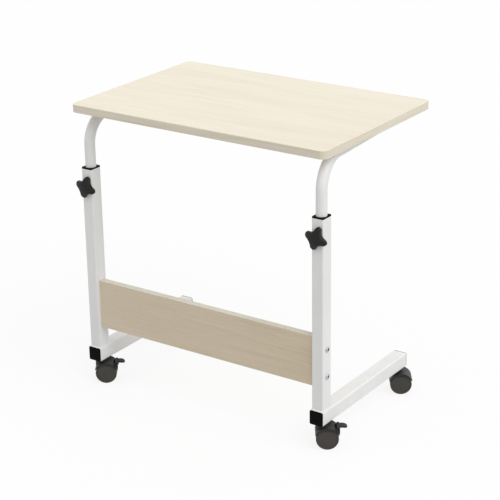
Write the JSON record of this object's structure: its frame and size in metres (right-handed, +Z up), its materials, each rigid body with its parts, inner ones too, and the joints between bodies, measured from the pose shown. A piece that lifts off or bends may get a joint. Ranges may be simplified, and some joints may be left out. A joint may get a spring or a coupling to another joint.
{
  "type": "overbed table",
  "caption": "Height-adjustable overbed table: laminated top on two bent lift tubes clamped in columns, a modesty panel and feet on hooded swivel castors.",
  "frame": {"origin": "on the floor, below the middle of the tabletop", "axes": "+X along the tabletop's long side, -Y towards the columns and panel, +Z up"},
  "size_m": [0.6197, 0.402, 0.614],
  "materials": {
    "laminate": "matt maple-look laminate on board",
    "edge_band": "matt maple-look band",
    "white_steel": "white powder coat",
    "black_plastic": "black moulded plastic",
    "knob_plastic": "black moulded plastic, fine grain",
    "hood_plastic": "charcoal moulded plastic",
    "wheel_plastic": "dark warm grey moulded plastic",
    "zinc": "zinc-plated steel"
  },
  "bodies": {
    "frame": {"panel": "laminate", "panel_bands": "edge_band", "panel_screws": "zinc", "panel_inserts": "zinc", "stem_nuts": "zinc", "left_column": "white_steel", "left_foot": "white_steel", "left_front_plug": "black_plastic", "left_rear_plug": "black_plastic", "left_collar": "black_plastic", "left_clamp_nut": "zinc", "right_column": "white_steel", "right_foot": "white_steel", "right_front_plug": "black_plastic", "right_rear_plug": "black_plastic", "right_collar": "black_plastic", "right_clamp_nut": "zinc", "front_left_stem": "zinc", "front_right_stem": "zinc", "rear_left_stem": "zinc", "rear_right_stem": "zinc"},
    "lift": {"tabletop": "laminate", "edge_band": "edge_band", "top_screws": "zinc", "top_inserts": "zinc", "left_lift_tube": "white_steel", "left_tube_cap": "black_plastic", "left_tube_glide": "black_plastic", "right_lift_tube": "white_steel", "right_tube_cap": "black_plastic", "right_tube_glide": "black_plastic"},
    "left_clamp": {"left_knob": "knob_plastic", "left_knob_stud": "zinc"},
    "right_clamp": {"right_knob": "knob_plastic", "right_knob_stud": "zinc"},
    "front_left_castor": {"front_left_hood": "hood_plastic", "front_left_axle": "zinc", "front_left_brake_pin": "zinc"},
    "front_left_outer_wheel": {"front_left_outer_wheel": "wheel_plastic"},
    "front_left_inner_wheel": {"front_left_inner_wheel": "wheel_plastic"},
    "front_left_brake": {"front_left_brake_pedal": "hood_plastic"},
    "front_right_castor": {"front_right_hood": "hood_plastic", "front_right_axle": "zinc", "front_right_brake_pin": "zinc"},
    "front_right_outer_wheel": {"front_right_outer_wheel": "wheel_plastic"},
    "front_right_inner_wheel": {"front_right_inner_wheel": "wheel_plastic"},
    "front_right_brake": {"front_right_brake_pedal": "hood_plastic"},
    "rear_left_castor": {"rear_left_hood": "hood_plastic", "rear_left_axle": "zinc"},
    "rear_left_outer_wheel": {"rear_left_outer_wheel": "wheel_plastic"},
    "rear_left_inner_wheel": {"rear_left_inner_wheel": "wheel_plastic"},
    "rear_right_castor": {"rear_right_hood": "hood_plastic", "rear_right_axle": "zinc"},
    "rear_right_outer_wheel": {"rear_right_outer_wheel": "wheel_plastic"},
    "rear_right_inner_wheel": {"rear_right_inner_wheel": "wheel_plastic"}
  },
  "joints": [
    {"name": "height_slide", "type": "slide", "parent": "frame", "child": "lift", "axis": [0, 0, 1], "range_m": [-0.022, 0.178]},
    {"name": "left_knob_turn", "type": "hinge", "parent": "frame", "child": "left_clamp", "pos_m": [-0.2765, -0.19, 0.4405], "axis": [0, -1, 0], "range_deg": [0, 360]},
    {"name": "right_knob_turn", "type": "hinge", "parent": "frame", "child": "right_clamp", "pos_m": [0.2765, -0.19, 0.4405], "axis": [0, -1, 0], "range_deg": [0, 360]},
    {"name": "front_left_swivel", "type": "hinge", "parent": "frame", "child": "front_left_castor", "pos_m": [-0.2765, -0.173, 0.04], "axis": [0, 0, 1], "continuous": true},
    {"name": "front_left_outer_wheel_roll", "type": "hinge", "parent": "front_left_castor", "child": "front_left_outer_wheel", "pos_m": [-0.26738, -0.16685, 0.0225], "axis": [-0.5592, 0.829, 0], "continuous": true},
    {"name": "front_left_inner_wheel_roll", "type": "hinge", "parent": "front_left_castor", "child": "front_left_inner_wheel", "pos_m": [-0.26738, -0.16685, 0.0225], "axis": [-0.5592, 0.829, 0], "continuous": true},
    {"name": "front_left_brake_press", "type": "hinge", "parent": "front_left_castor", "child": "front_left_brake", "pos_m": [-0.24974, -0.15495, 0.04235], "axis": [-0.5592, 0.829, 0], "range_deg": [0, 15]},
    {"name": "front_right_swivel", "type": "hinge", "parent": "frame", "child": "front_right_castor", "pos_m": [0.2765, -0.173, 0.04], "axis": [0, 0, 1], "continuous": true},
    {"name": "front_right_outer_wheel_roll", "type": "hinge", "parent": "front_right_castor", "child": "front_right_outer_wheel", "pos_m": [0.28562, -0.16685, 0.0225], "axis": [-0.5592, 0.829, 0], "continuous": true},
    {"name": "front_right_inner_wheel_roll", "type": "hinge", "parent": "front_right_castor", "child": "front_right_inner_wheel", "pos_m": [0.28562, -0.16685, 0.0225], "axis": [-0.5592, 0.829, 0], "continuous": true},
    {"name": "front_right_brake_press", "type": "hinge", "parent": "front_right_castor", "child": "front_right_brake", "pos_m": [0.30326, -0.15495, 0.04235], "axis": [-0.5592, 0.829, 0], "range_deg": [0, 15]},
    {"name": "rear_left_swivel", "type": "hinge", "parent": "frame", "child": "rear_left_castor", "pos_m": [-0.2765, 0.117, 0.04], "axis": [0, 0, 1], "continuous": true},
    {"name": "rear_left_outer_wheel_roll", "type": "hinge", "parent": "rear_left_castor", "child": "rear_left_outer_wheel", "pos_m": [-0.26738, 0.12315, 0.0225], "axis": [-0.5592, 0.829, 0], "continuous": true},
    {"name": "rear_left_inner_wheel_roll", "type": "hinge", "parent": "rear_left_castor", "child": "rear_left_inner_wheel", "pos_m": [-0.26738, 0.12315, 0.0225], "axis": [-0.5592, 0.829, 0], "continuous": true},
    {"name": "rear_right_swivel", "type": "hinge", "parent": "frame", "child": "rear_right_castor", "pos_m": [0.2765, 0.117, 0.04], "axis": [0, 0, 1], "continuous": true},
    {"name": "rear_right_outer_wheel_roll", "type": "hinge", "parent": "rear_right_castor", "child": "rear_right_outer_wheel", "pos_m": [0.28562, 0.12315, 0.0225], "axis": [-0.5592, 0.829, 0], "continuous": true},
    {"name": "rear_right_inner_wheel_roll", "type": "hinge", "parent": "rear_right_castor", "child": "rear_right_inner_wheel", "pos_m": [0.28562, 0.12315, 0.0225], "axis": [-0.5592, 0.829, 0], "continuous": true}
  ]
}
